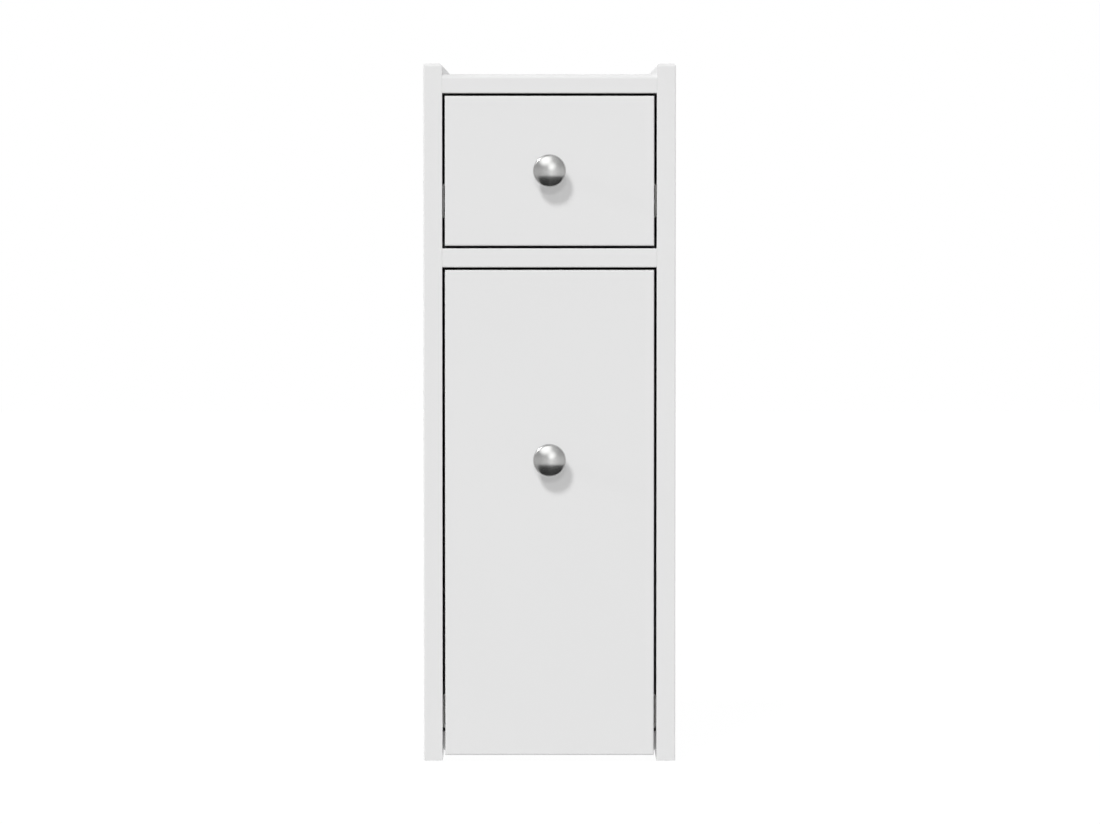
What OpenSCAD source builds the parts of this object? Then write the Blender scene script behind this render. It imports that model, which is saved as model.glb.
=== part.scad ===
// Slim toilet roll storage cabinet: a drawer over a pull-out rack, both on roller runners.
// Front view looks along +Y, +Z is up, and the origin is on the floor under the middle.

/* [Cabinet] */
// Outer width over both side panels
body_w = 200; // [185:1:260]
// Depth of the side panels, front face to rear edge
body_d = 480; // [360:1:600]
// Height from the floor to the top of the side panels
body_h = 555; // [480:1:680]
// Thickness of the carcass boards
board = 15; // [12:0.5:18]
// How far the side panels rise above the top panel
top_recess = 8.5; // [6:0.5:14]
// Clear space between the base panel and the floor
base_clear = 8; // [6:0.5:14]
// Thickness of the hardboard back
back_t = 3; // [2.5:0.1:4]
// Distance from the back's outer face to the rear edge of the side panels
back_inset = 10; // [8:0.5:16]

/* [Edges] */
// Rounding of the side panels' top edges
side_top_round = 2.5; // [1:0.1:3]
// Rounding of the side panels' outer front edges
side_front_round = 1.2; // [0.5:0.1:2]
// Rounding of their inner front edges, which meet the ends of the top and the divider
side_inner_round = 0.4; // [0.3:0.1:1.5]
// Rounding of the top panel's upper front edge
top_front_round = 3.5; // [1:0.1:4]
// Rounding of the fronts' outer edges
front_round = 1.2; // [0.5:0.1:2]
// Small rounding on the boards of the drawer and the rack
ease = 1; // [0.9:0.1:1.5]

/* [Fronts] */
// Thickness of the drawer front and the rack front
front_t = 15; // [12:0.5:18]
// Height of the drawer front
drawer_front_h = 118.5; // [100:0.5:150]
// Reveal round both fronts
reveal = 2.1; // [1.4:0.1:3]
// Clear space between the rack front and the floor
front_clear = 6; // [4:0.5:10]

/* [Knobs] */
// Diameter of the head
knob_d = 26; // [22:0.5:32]
// How far the knobs stand out from the fronts
knob_out = 23; // [21:0.5:30]
// Radius of the dome that the head's face is part of
knob_dome_r = 28; // [24:1:60]
// Rounding of the head's rim
knob_rim_r = 2.9; // [2:0.1:3.5]
// Diameter of the neck at its narrowest
knob_neck_d = 10; // [8:0.5:12]
// Diameter of the foot on the front
knob_foot_d = 14; // [13:0.5:18]
// Distance of the rack's knob below the top edge of its front
knob_drop = 150; // [80:1:200]

/* [Drawer and rack] */
// Thickness of the boards of the drawer and the rack
side_t = 12; // [12:0.5:15]
// Height of the drawer's runners above the divider
drawer_runner_lift = 24; // [2:0.5:28]
// Free space over the drawer's sides
drawer_head_room = 13; // [6:0.5:20]
// Height of the rack's runners above the base panel
rack_runner_lift = 3; // [1:0.5:8]
// Height of the rack's lower sides
tray_side_h = 70; // [60:1:90]
// Clear height between the rack's floor and its shelf
roll_bay_h = 174; // [120:1:190]
// Height of the rails beside the shelf
rail_h = 30; // [20:1:40]
// Thickness of those rails
rail_t = 10; // [8:0.5:12]
// Gap under those rails
rail_gap = 22; // [10:1:30]
// How far the rack's back stays below the top edge of its front
rack_back_drop = 12; // [6:1:30]
// Free space behind the drawer and the rack
box_rear_gap = 22; // [10:1:40]
// Thickness of the drawer's hardboard bottom
bottom_t = 3; // [2.5:0.1:4]
// Height of the bottom's groove above the sides' lower edge
bottom_lift = 8; // [6:0.5:12]

/* [Runners] */
// Space for a runner on each side of the drawer and the rack
runner_gap = 12.5; // [12.5:0.1:14]
// Sheet steel thickness
sheet = 1.2; // [1:0.1:1.3]
// Diameter of the nylon rollers
roller_d = 22; // [18:0.1:27]
// Width of the rollers
roller_w = 6; // [5:0.5:6.5]
// Diameter of the axle rivets
axle_d = 6; // [5:0.1:7]
// Length of runner that stays in the cabinet when it is open
runner_hold = 100; // [80:5:150]
// Distance of a roller's axle from the end of its member
axle_inset = 12; // [11:0.5:18]

/* [Hidden] */

$fn = 64;
cut = 1;                    // how far a cutting shape runs past the face that it cuts
fit = 0.1;                  // clearance round a fitting in its bore
seat = 0.3;                 // running clearance between a roller and its track

white = "#ECECEA";
hardboard = "#8A6B4C";
epoxy_white = "#E4E4E0";
nickel = "#B9B6B0";
zinc = "#A9ABAD";
nylon = "#F3F3EE";
polythene = "#D8D8D4";
beech = "#D9B98B";

// Where the cabinet stands: the knobs and the rear edges are equally far from the origin.
front_y = (knob_out - body_d) / 2;
back_y = front_y + body_d;

// Carcass
glide_d = 13;
glide_h = 1.5;
glide_round = 0.5;
glide_inset = 25;                           // from the side panel's front or rear edge
nail_d = 2;
nail_l = 14;
bay_w = body_w - 2 * board;
top_z = body_h - top_recess - board;
divider_z = top_z - drawer_front_h - 2 * reveal - board;
base_z = base_clear;
base_setback = front_t + 5;                 // the base panel starts 5 mm behind the rack's front
back_face_y = back_y - back_inset - back_t;
panel_back_y = back_face_y - seat;
groove_d = 7;
groove_gap = 0.15;                          // on each face of a hardboard sheet in its groove
groove_end = 0.5;                           // between the sheet's edge and the groove's floor

// Fronts
front_w = bay_w - 2 * reveal;
drawer_front_z = divider_z + board + reveal;
rack_front_z = front_clear;
rack_front_h = divider_z - reveal - front_clear;
box_y = front_y + front_t;

// Knobs, in their outline's plane: distance from the axis, and height above the front.
drawer_knob_z = drawer_front_z + drawer_front_h / 2;
rack_knob_z = rack_front_z + rack_front_h - knob_drop;
knob_cove_r = 8;
knob_dome_z = knob_out - knob_dome_r;
knob_rim_x = knob_d / 2 - knob_rim_r;
knob_rim_z = knob_dome_z + sqrt(pow(knob_dome_r - knob_rim_r, 2) - pow(knob_rim_x, 2));
knob_cove_z = knob_rim_z
    - sqrt(pow(knob_cove_r + knob_rim_r, 2) - pow(knob_neck_d / 2 + knob_cove_r - knob_rim_x, 2));

// Runner sections: s is measured from the cabinet's side, v from the runner's underside.
fold = 0.8;                                 // inner radius of the folds
fold_out = fold + sheet;
roller_s = fold_out;                        // outer face of a roller
track_w = roller_s + roller_w + fold_out;   // width of the track, its lip included
lip_h = 3.4;
axle_v = sheet + seat + roller_d / 2;
wing_v = axle_v + roller_d / 2 + seat;      // underside of the drawer member's wing
wing_top = wing_v + sheet;
wing_gap = 0.8;                             // space between the wing and the cabinet member
wing_clear = 2;                             // space between the wing's end and the rear roller
hood_v = wing_top + 1;                      // underside of the hood, 1 mm above the wing
hood_w = 9;
runner_h = hood_v + sheet;
member_v = 2;                               // underside of the drawer member
member_w = 11;                              // its foot under the drawer's side
runner_slot = [9, 4];                       // length and width of the adjusting slots
lip_notch = 6;                              // the lip starts this far behind the runner's end
foot_notch = 4;                             // so does the foot

// Rollers and their axle rivets
shoulder_d = axle_d + 2;
rivet_head_d = axle_d + 3;
rivet_head_h = 0.9;
roller_round = 0.5;
roller_wall = 2.4;                          // wall of the hub and of the rim, beside the ring grooves
roller_groove = 1.2;                        // depth of those grooves
head_pocket = [rivet_head_d + 0.4, 1.1];    // diameter and depth of the rear rollers' pocket

// Drawer and rack boxes
box_w = bay_w - 2 * runner_gap;
inner_w = box_w - 2 * side_t;
box_l = back_face_y - box_rear_gap - box_y;
box_back_y = box_y + box_l - side_t;
board_v = member_v + sheet;                 // underside of the sides, above a runner's underside
drawer_runner_z = divider_z + board + drawer_runner_lift;
rack_runner_z = base_z + board + rack_runner_lift;
drawer_box_z = drawer_runner_z + board_v;
drawer_side_h = top_z - drawer_head_room - drawer_box_z;
bottom_z = drawer_box_z + bottom_lift;
bottom_groove_d = 5;
rack_box_z = rack_runner_z + board_v;
shelf_z = rack_box_z + side_t + roll_bay_h;
rail_z = shelf_z + side_t + rail_gap;
rack_back_h = rack_front_z + rack_front_h - rack_back_drop - rack_box_z;
tray_l = box_l - side_t;                    // the rack's back covers the ends of its boards
side_x = box_w / 2 - side_t / 2;            // middle of the drawer's and the rack's sides
rail_x = box_w / 2 - rail_t / 2;

// Runner lengths come in stock steps, and the runners start just behind the fronts.
stock_step = 50;
front_gap = 2;                              // between a front and its runners
runner_l = stock_step * floor((box_l - front_gap) / stock_step);
runner_y = box_y + front_gap;
travel = runner_l - runner_hold;
front_axle_y = runner_y + axle_inset;
rear_axle_y = runner_y + runner_l - axle_inset;
runner_screw_v = runner_h / 2;
runner_screw_ys = [37, runner_l / 2 - 3, runner_l - 43];
slide_screw_v = wing_v - 4.8;
slide_screw_ys = [48, runner_l / 2, runner_l - 60];
stop_h = 6;
stop_w = 3;
stop_y = rear_axle_y - travel - sqrt(pow(roller_d / 2, 2) - pow(axle_v - stop_h, 2)) - seat - sheet;

// Countersunk screws: diameter, head diameter, length
runner_screw = [3.5, 6.4, 13];
slide_screw = [3.5, 6.4, 10];
box_screw = [3.5, 7, 36];
back_screw = [3, 6, 22];
screw_head_edge = 0.2;                      // height of the upright edge of a head
screw_tip = 0.3;                            // radius of the blunt tip

// Knob screws
knob_thread_d = 4;
knob_thread_l = 8;                          // thread in the knob
knob_thread_end = 2;                        // free depth beyond it
knob_bore_gap = 0.5;                        // round the screw in the front
knob_head_d = 8;
knob_head_h = 2.6;
knob_head_round = 1.4;

// Cam bolts and the round locks that draw them in
cam_inset = 24;                             // from the joint to the lock's axis
bolt_thread = [5, 11];                      // diameter and length of each part of a bolt
bolt_neck = [3.6, 7];
bolt_shank = [6, cam_inset - bolt_neck[1] - 2];
bolt_head_h = 3.4;
bolt_gap = 0.5;                             // round the shank in its bore
lock_gap = 0.3;                             // round the bolt's head and neck in the lock
lock_sink = 0.2;                            // the lock's open face lies this far below the board's

thin_board = 13;                            // up to this thickness the smaller lock is used
lock_wall = 3;                              // board left behind a lock

function cam_d(t) = t > thin_board ? 15 : 12;
function cam_h(t) = t - lock_wall;
function bolt_head_d(t) = t > thin_board ? 6.5 : 5;

// Dowels: diameter, depth in the face, depth in the edge
dowel = [8, 10, 19];
small_dowel = [6, 9, 15];
dowel_chamfer = [0.6, 1];
dowel_gap = 0.5;                            // at each end of a dowel in its bores

// Fittings stand at these distances from a carcass board's ends and from each other.
fitting_edge = 37;
fitting_step = 32;

function cam_ys(y0, y1) = [y0 + fitting_edge, y1 - fitting_edge];
function dowel_ys(y0, y1) = [y0 + fitting_edge + fitting_step, y1 - fitting_edge - fitting_step];

// Fittings of the drawer
drawer_cam_z = drawer_box_z + drawer_side_h / 2 + 5;
drawer_dowel_zs = [drawer_cam_z - 20, drawer_cam_z + 20];
drawer_screw_zs = [bottom_z + bottom_t + 14, drawer_box_z + drawer_side_h - 15];

// Fittings of the rack
tray_cam_z = rack_box_z + tray_side_h - 18;
tray_dowel_z = rack_box_z + side_t + 18;
shelf_cam_x = inner_w / 4;
shelf_dowel_x = side_x - 2;
base_dowel_x = inner_w / 4;
base_dowel_ys = [box_y + box_l / 4, box_y + box_l * 3 / 4];
rear_screw_spots = [
    [side_x, rack_box_z + side_t + 12], [side_x, rack_box_z + tray_side_h - 12],
    [base_dowel_x, rack_box_z + side_t / 2], [shelf_cam_x, shelf_z + side_t / 2],
    [rail_x, rail_z + rail_h / 2]
];

// The three horizontal carcass boards: underside, front end and rear end.
carcass_boards = [
    [top_z, front_y, back_y],
    [divider_z, front_y, panel_back_y],
    [base_z, front_y + base_setback, panel_back_y]
];

// ---- Basic shapes ----

module both_sides() {
    children();
    mirror([1, 0, 0]) children();
}

module corner_cut(r) {
    difference() {
        translate([-cut, -cut]) square(r + cut);
        translate([r, r]) circle(r);
    }
}

// Rectangle whose corners are rounded: radii at low-low, high-low, high-high and low-high.
module eased_section(w, h, r) {
    difference() {
        square([w, h]);
        if (r[0] > 0) corner_cut(r[0]);
        if (r[1] > 0) translate([w, 0]) mirror([1, 0]) corner_cut(r[1]);
        if (r[2] > 0) translate([w, h]) rotate(180) corner_cut(r[2]);
        if (r[3] > 0) translate([0, h]) mirror([0, 1]) corner_cut(r[3]);
    }
}

// Board with rounded edges. Each list holds the radii of the four edges along one axis:
// upright ones from front left round to rear left, the others from low left or low front.
module eased_board(size, upright = [0, 0, 0, 0], along_x = [0, 0, 0, 0], along_y = [0, 0, 0, 0]) {
    intersection() {
        linear_extrude(size.z) eased_section(size.x, size.y, upright);
        if (max(along_y) > 0)
            translate([0, size.y, 0]) rotate([90, 0, 0])
                linear_extrude(size.y) eased_section(size.x, size.z, along_y);
        if (max(along_x) > 0)
            rotate([90, 0, 90]) linear_extrude(size.x) eased_section(size.y, size.z, along_x);
    }
}

module along_y(y0, length) {
    translate([0, y0 + length, 0]) rotate([90, 0, 0]) linear_extrude(length) children();
}

module quarter_fold(turn) {
    rotate(turn) intersection() {
        difference() {
            circle(fold_out);
            circle(fold);
        }
        square(fold_out + cut);
    }
}

// Countersunk screw: its head's flat face is at the origin and it points along +Z.
module flat_screw(size, gap = 0) {
    r = size[0] / 2 + gap;
    head_r = size[1] / 2 + gap;
    top = gap > 0 ? -cut : 0;
    edge = screw_head_edge + gap;
    end = size[2] + gap;
    rotate_extrude() polygon([
        [0, top], [head_r, top], [head_r, edge], [r, edge + head_r - r],
        [r, size[2] - r + gap], [screw_tip + gap, end], [0, end]
    ]);
}

// ---- Fittings: the joint plane is x = 0, and the joined board's edge is on its +X side ----

module cam_bolt(t) {
    head_at = bolt_shank[1] + bolt_neck[1];
    rotate([0, 90, 0]) {
        translate([0, 0, -bolt_thread[1]]) cylinder(h = bolt_thread[1], d = bolt_thread[0]);
        cylinder(h = bolt_shank[1], d = bolt_shank[0]);
        translate([0, 0, bolt_shank[1]]) cylinder(h = bolt_neck[1], d = bolt_neck[0]);
        translate([0, 0, head_at]) cylinder(h = bolt_head_h, d = bolt_head_d(t));
    }
}

// Round die-cast lock with the pocket that holds the bolt's head; its open face is at -Z.
module cam_lock(t) {
    pocket_w = bolt_head_d(t) + 2 * lock_gap;
    neck_w = bolt_neck[0] + 2 * lock_gap;
    difference() {
        translate([cam_inset, 0, lock_sink - t / 2])
            cylinder(h = cam_h(t) - lock_sink, d = cam_d(t) - 2 * fit);
        translate([bolt_shank[1] + bolt_neck[1] - lock_gap, -pocket_w / 2, -pocket_w / 2])
            cube([bolt_head_h + 2 * lock_gap, pocket_w, pocket_w]);
        translate([0, -neck_w / 2, -neck_w / 2]) cube([cam_inset, neck_w, neck_w]);
    }
}

module cam_face_bore() {
    rotate([0, 90, 0]) translate([0, 0, -bolt_thread[1] - fit])
        cylinder(h = bolt_thread[1] + fit + cut, d = bolt_thread[0] + 2 * fit);
}

module cam_edge_bores(t) {
    translate([cam_inset, 0, -t / 2 - cut]) cylinder(h = cam_h(t) + cut + fit, d = cam_d(t));
    rotate([0, 90, 0]) translate([0, 0, -cut])
        cylinder(h = cam_inset, d = bolt_shank[0] + 2 * bolt_gap);
}

module dowel_pin(size) {
    r = size[0] / 2;
    length = size[1] + size[2];
    translate([-size[1], 0, 0]) rotate([0, 90, 0]) rotate_extrude() polygon([
        [0, 0], [r - dowel_chamfer[0], 0], [r, dowel_chamfer[1]],
        [r, length - dowel_chamfer[1]], [r - dowel_chamfer[0], length], [0, length]
    ]);
}

module dowel_bore(size) {
    translate([-size[1] - dowel_gap, 0, 0]) rotate([0, 90, 0])
        cylinder(h = size[1] + size[2] + 2 * dowel_gap, d = size[0] + 2 * fit);
}

// Runs its children at every joint between a side panel and a horizontal board.
module at_carcass_joints(kind) {
    for (b = carcass_boards)
        for (y = kind == "cam" ? cam_ys(b[1], b[2]) : dowel_ys(b[1], b[2]))
            translate([-bay_w / 2, y, b[0] + board / 2]) children();
}

module board_joint_bores(b) {
    both_sides() {
        for (y = cam_ys(b[1], b[2]))
            translate([-bay_w / 2, y, b[0] + board / 2]) cam_edge_bores(board);
        for (y = dowel_ys(b[1], b[2]))
            translate([-bay_w / 2, y, b[0] + board / 2]) dowel_bore(dowel);
    }
}

// ---- Carcass ----

module side_panel() {
    difference() {
        translate([-body_w / 2, front_y, glide_h])
            eased_board([board, body_d, body_h - glide_h],
                upright = [side_front_round, side_inner_round, ease, 0],
                along_x = [0, 0, side_top_round, side_top_round],
                along_y = [0, 0, side_top_round, side_top_round]);
        translate([-bay_w / 2 - groove_d, back_face_y - groove_gap, base_z - groove_gap])
            cube([groove_d + cut, back_t + 2 * groove_gap, top_z + groove_d - base_z]);
        at_carcass_joints("cam") cam_face_bore();
        at_carcass_joints("dowel") dowel_bore(dowel);
        at_runner_screws() flat_screw(runner_screw, fit / 2);
        at_glides() cylinder(h = glide_h + nail_l, d = nail_d + 2 * fit);
    }
}

module side_panel_left() { color(white) side_panel(); }
module side_panel_right() { color(white) mirror([1, 0, 0]) side_panel(); }

module top_panel() {
    color(white) difference() {
        translate([-bay_w / 2, front_y, top_z])
            eased_board([bay_w, body_d, board], along_x = [ease, 0, ease, top_front_round]);
        translate([-bay_w / 2 - cut, back_face_y - groove_gap, top_z - cut])
            cube([bay_w + 2 * cut, back_t + 2 * groove_gap, groove_d + cut]);
        board_joint_bores(carcass_boards[0]);
    }
}

module divider_panel() {
    color(white) difference() {
        translate([-bay_w / 2, front_y, divider_z])
            eased_board([bay_w, panel_back_y - front_y, board], along_x = [ease, 0, 0, ease]);
        board_joint_bores(carcass_boards[1]);
        at_back_screws() flat_screw(back_screw, fit / 2);
    }
}

module base_panel() {
    color(white) difference() {
        translate([-bay_w / 2, front_y + base_setback, base_z])
            eased_board([bay_w, panel_back_y - front_y - base_setback, board],
                along_x = [ease, 0, 0, ease]);
        board_joint_bores(carcass_boards[2]);
        at_back_screws() flat_screw(back_screw, fit / 2);
    }
}

module back_panel() {
    color(hardboard) difference() {
        translate([-bay_w / 2 - groove_d + groove_end, back_face_y, base_z])
            cube([bay_w + 2 * (groove_d - groove_end), back_t, top_z + groove_d - groove_end - base_z]);
        at_back_screws() flat_screw(back_screw, fit / 2);
    }
}

module at_back_screws() {
    for (x = [-bay_w / 4, bay_w / 4], z = [base_z, divider_z])
        translate([x, back_face_y + back_t, z + board / 2]) rotate([90, 0, 0]) children();
}

module at_glides() {
    for (y = [front_y + glide_inset, back_y - glide_inset])
        translate([-body_w / 2 + board / 2, y, 0]) children();
}

module carcass_cam_locks() { color(zinc) both_sides() at_carcass_joints("cam") cam_lock(board); }
module carcass_cam_bolts() { color(zinc) both_sides() at_carcass_joints("cam") cam_bolt(board); }
module carcass_dowels() { color(beech) both_sides() at_carcass_joints("dowel") dowel_pin(dowel); }
module back_panel_screws() { color(zinc) at_back_screws() flat_screw(back_screw); }

// Plastic glide with a moulded-in nail, driven into the lower edge of a side panel.
module floor_glides() {
    color(polythene) both_sides() at_glides() {
        rotate_extrude() difference() {
            square([glide_d / 2, glide_h]);
            translate([glide_d / 2, 0]) mirror([1, 0]) corner_cut(glide_round);
        }
        translate([0, 0, glide_h / 2]) cylinder(h = nail_l, d = nail_d);
    }
}

// ---- Runners: modelled on the left, mirrored for the right ----

// Cabinet member: a web with a lipped track below and a hood above.
module cabinet_member_section() {
    translate([0, fold_out]) square([sheet, runner_h - 2 * fold_out]);
    translate([fold_out, fold_out]) quarter_fold(180);
    translate([fold_out, 0]) square([track_w - 2 * fold_out, sheet]);
    translate([track_w - fold_out, fold_out]) quarter_fold(270);
    translate([track_w - sheet, fold_out]) square([sheet, lip_h - fold_out]);
    translate([fold_out, runner_h - fold_out]) quarter_fold(90);
    translate([fold_out, runner_h - sheet]) square([hood_w - fold_out, sheet]);
}

// Drawer member: a foot under the board, a web beside it and a wing that rides on the roller.
module drawer_member_section() {
    translate([runner_gap - sheet, member_v + fold_out])
        square([sheet, wing_top - member_v - 2 * fold_out]);
    translate([runner_gap - sheet + fold_out, member_v + fold_out]) quarter_fold(180);
    translate([runner_gap - sheet + fold_out, member_v])
        square([member_w - fold, sheet]);
    translate([runner_gap - fold_out, wing_top - fold_out]) quarter_fold(0);
    translate([sheet + wing_gap, wing_v])
        square([runner_gap - fold_out - sheet - wing_gap, sheet]);
}

module rod_x(x0, x1, d) {
    translate([x0, 0, 0]) rotate([0, 90, 0]) cylinder(h = x1 - x0, d = d);
}

module slot_cut() {
    flat = runner_slot[0] - runner_slot[1];
    depth = 2 * (sheet + cut);
    for (end = [-1, 1]) translate([0, end * flat / 2, 0]) rod_x(-depth / 2, depth / 2, runner_slot[1]);
    cube([depth, flat, runner_slot[1]], center = true);
}

module at_runner_screws() {
    for (z = [drawer_runner_z, rack_runner_z], y = runner_screw_ys)
        translate([-bay_w / 2 + sheet, runner_y + y, z + runner_screw_v]) rotate([0, -90, 0]) children();
}

module at_slide_screws(z) {
    for (y = slide_screw_ys)
        translate([-bay_w / 2 + runner_gap - sheet, runner_y + y, z + slide_screw_v])
            rotate([0, 90, 0]) children();
}

module cabinet_member(z) {
    difference() {
        translate([-bay_w / 2, 0, z]) {
            along_y(runner_y, runner_l) cabinet_member_section();
            translate([0, stop_y, sheet / 2]) cube([sheet + stop_w, sheet, stop_h - sheet / 2]);
        }
        at_runner_screws() flat_screw(runner_screw, fit / 2);
        translate([-bay_w / 2, 0, z]) {
            for (i = [0, 1], step = [1, 2])
                translate([0, runner_y + runner_screw_ys[i] + step * fitting_step, runner_screw_v])
                    slot_cut();
            translate([0, front_axle_y, axle_v]) rod_x(-cut, sheet + cut, axle_d + 2 * fit);
            translate([track_w - sheet - cut, runner_y - cut, sheet])
                cube([sheet + 2 * cut, lip_notch + cut, lip_h]);
        }
    }
}

module drawer_member(z) {
    difference() {
        translate([-bay_w / 2, 0, z]) along_y(runner_y, runner_l) drawer_member_section();
        at_slide_screws(z) flat_screw(slide_screw, fit / 2);
        translate([-bay_w / 2, 0, z]) {
            for (i = [0, 1])
                translate([runner_gap, runner_y + slide_screw_ys[i] + fitting_step, slide_screw_v])
                    slot_cut();
            translate([0, rear_axle_y, axle_v])
                rod_x(runner_gap - sheet - cut, runner_gap + cut, axle_d + 2 * fit);
            // The wing stops short of the rear roller, and the foot is cut back at the front.
            translate([-cut, rear_axle_y - roller_d / 2 - wing_clear, wing_v - cut])
                cube([runner_gap - fold_out - sheet + cut, roller_d + axle_inset + cut, sheet + 2 * cut]);
            translate([runner_gap + cut, runner_y - cut, member_v - cut])
                cube([member_w, foot_notch + cut, sheet + 2 * cut]);
        }
    }
}

// Axle rivets along +X, each with a shoulder beside its web and a head on the roller's other side.
module front_axle() {
    head_s = roller_s + roller_w + fit;
    rod_x(fit, head_s + rivet_head_h / 2, axle_d);
    rod_x(sheet, roller_s - fit, shoulder_d);
    translate([head_s, 0, 0]) rotate([0, 90, 0])
        cylinder(h = rivet_head_h, d1 = rivet_head_d, d2 = shoulder_d);
}

module rear_axle() {
    head_s = roller_s + head_pocket[1] - fit;
    rod_x(head_s - rivet_head_h, head_s, rivet_head_d);
    rod_x(head_s - rivet_head_h / 2, runner_gap - fit, axle_d);
    rod_x(roller_s + roller_w + fit, runner_gap - sheet, shoulder_d);
}

// Nylon roller along +X with a rounded tread and a ring groove in each face.
module roller(pocket) {
    r = roller_d / 2;
    bore_r = axle_d / 2 + fit;
    hub_r = axle_d / 2 + roller_wall;
    groove_w = r - roller_wall - hub_r;
    difference() {
        rotate([0, 90, 0]) rotate_extrude() difference() {
            translate([bore_r, 0]) square([r - bore_r, roller_w]);
            translate([r, 0]) mirror([1, 0]) corner_cut(roller_round);
            translate([r, roller_w]) rotate(180) corner_cut(roller_round);
            translate([hub_r, -cut]) square([groove_w, roller_groove + cut]);
            translate([hub_r, roller_w - roller_groove]) square([groove_w, roller_groove + cut]);
        }
        if (pocket) rod_x(-cut, head_pocket[1], head_pocket[0]);
    }
}

module roller_at(y, z, pocket) {
    color(nylon) translate([-bay_w / 2 + roller_s, y, z + axle_v]) roller(pocket);
}

module drawer_runner_left() { color(epoxy_white) cabinet_member(drawer_runner_z); }
module drawer_runner_right() { color(epoxy_white) mirror([1, 0, 0]) cabinet_member(drawer_runner_z); }
module rack_runner_left() { color(epoxy_white) cabinet_member(rack_runner_z); }
module rack_runner_right() { color(epoxy_white) mirror([1, 0, 0]) cabinet_member(rack_runner_z); }

module runner_screws() { color(zinc) both_sides() at_runner_screws() flat_screw(runner_screw); }

module runner_axles() {
    color(zinc) both_sides() for (z = [drawer_runner_z, rack_runner_z])
        translate([-bay_w / 2, front_axle_y, z + axle_v]) front_axle();
}

module slide_screws(z) { color(zinc) both_sides() at_slide_screws(z) flat_screw(slide_screw); }

module slide_axles(z) {
    color(zinc) both_sides() translate([-bay_w / 2, rear_axle_y, z + axle_v]) rear_axle();
}

// ---- Knobs ----

// Half of the knob's outline. A cove sweeps up from the foot, past the neck, to the rim, and
// the rim is rounded into the shallow dome of the face; each arc is tangent to the next.
module knob_outline() {
    rim = [knob_rim_x, knob_rim_z];
    cove = [knob_neck_d / 2 + knob_cove_r, knob_cove_z];
    underside = rim + (cove - rim) * knob_rim_r / norm(cove - rim);
    difference() {
        polygon([[0, 0], [knob_foot_d / 2, 0], [knob_foot_d / 2, cove.y], underside, rim, [0, rim.y]]);
        translate(cove) circle(knob_cove_r);
    }
    translate(rim) circle(knob_rim_r);
    intersection() {
        translate([0, knob_dome_z]) circle(knob_dome_r);
        translate([0, rim.y]) square([knob_rim_x * knob_dome_r / (knob_dome_r - knob_rim_r), knob_out]);
    }
}

// Domed knob, revolved, with a blind thread for the screw from behind.
module knob() {
    rotate([90, 0, 0]) difference() {
        rotate_extrude() knob_outline();
        translate([0, 0, -cut])
            cylinder(h = knob_thread_l + knob_thread_end + cut, d = knob_thread_d + fit);
    }
}

// Pan-head machine screw whose head bears on the inner face of the front.
module knob_screw() {
    head_r = knob_head_d / 2;
    rotate([90, 0, 0]) {
        translate([0, 0, -front_t]) cylinder(h = front_t + knob_thread_l, d = knob_thread_d);
        translate([0, 0, -front_t]) mirror([0, 0, 1]) rotate_extrude() difference() {
            square([head_r, knob_head_h]);
            translate([head_r, knob_head_h]) rotate(180) corner_cut(knob_head_round);
        }
    }
}

module knob_bore() {
    rotate([90, 0, 0]) translate([0, 0, -front_t - cut])
        cylinder(h = front_t + 2 * cut, d = knob_thread_d + 2 * knob_bore_gap);
}

module at_drawer_knob() { translate([0, front_y, drawer_knob_z]) children(); }
module at_rack_knob() { translate([0, front_y, rack_knob_z]) children(); }

module drawer_knob() { color(nickel) at_drawer_knob() knob(); }
module rack_knob() { color(nickel) at_rack_knob() knob(); }
module drawer_knob_screw() { color(zinc) at_drawer_knob() knob_screw(); }
module rack_knob_screw() { color(zinc) at_rack_knob() knob_screw(); }

module front_board(z, height) {
    translate([-front_w / 2, front_y, z]) eased_board([front_w, front_t, height],
        upright = [front_round, front_round, 0, 0],
        along_x = [front_round, 0, 0, front_round]);
}

// ---- Drawer ----

// Turns a fitting so that it runs back from the front, with the lock facing inwards.
module into_side(z) {
    translate([-side_x, box_y, z]) rotate([-90, 0, 0]) rotate([0, -90, 0]) children();
}

module at_drawer_screws() {
    for (z = drawer_screw_zs)
        translate([-box_w / 2, box_back_y + side_t / 2, z]) rotate([0, 90, 0]) children();
}

module drawer_side() {
    difference() {
        translate([-box_w / 2, box_y, drawer_box_z])
            eased_board([side_t, box_l, drawer_side_h], along_y = [ease, 0, ease, ease]);
        translate([-inner_w / 2 - bottom_groove_d, box_y - cut, bottom_z - groove_gap])
            cube([bottom_groove_d + cut, box_l + 2 * cut, bottom_t + 2 * groove_gap]);
        into_side(drawer_cam_z) cam_edge_bores(side_t);
        for (z = drawer_dowel_zs) into_side(z) dowel_bore(small_dowel);
        at_drawer_screws() flat_screw(box_screw, fit / 2);
        at_slide_screws(drawer_runner_z) flat_screw(slide_screw, fit / 2);
    }
}

module drawer_side_left() { color(white) drawer_side(); }
module drawer_side_right() { color(white) mirror([1, 0, 0]) drawer_side(); }

module drawer_front() {
    color(white) difference() {
        front_board(drawer_front_z, drawer_front_h);
        at_drawer_knob() knob_bore();
        translate([-inner_w / 2 - bottom_groove_d, box_y - bottom_groove_d, bottom_z - groove_gap])
            cube([inner_w + 2 * bottom_groove_d, bottom_groove_d + cut, bottom_t + 2 * groove_gap]);
        both_sides() {
            into_side(drawer_cam_z) cam_face_bore();
            for (z = drawer_dowel_zs) into_side(z) dowel_bore(small_dowel);
        }
    }
}

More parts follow.
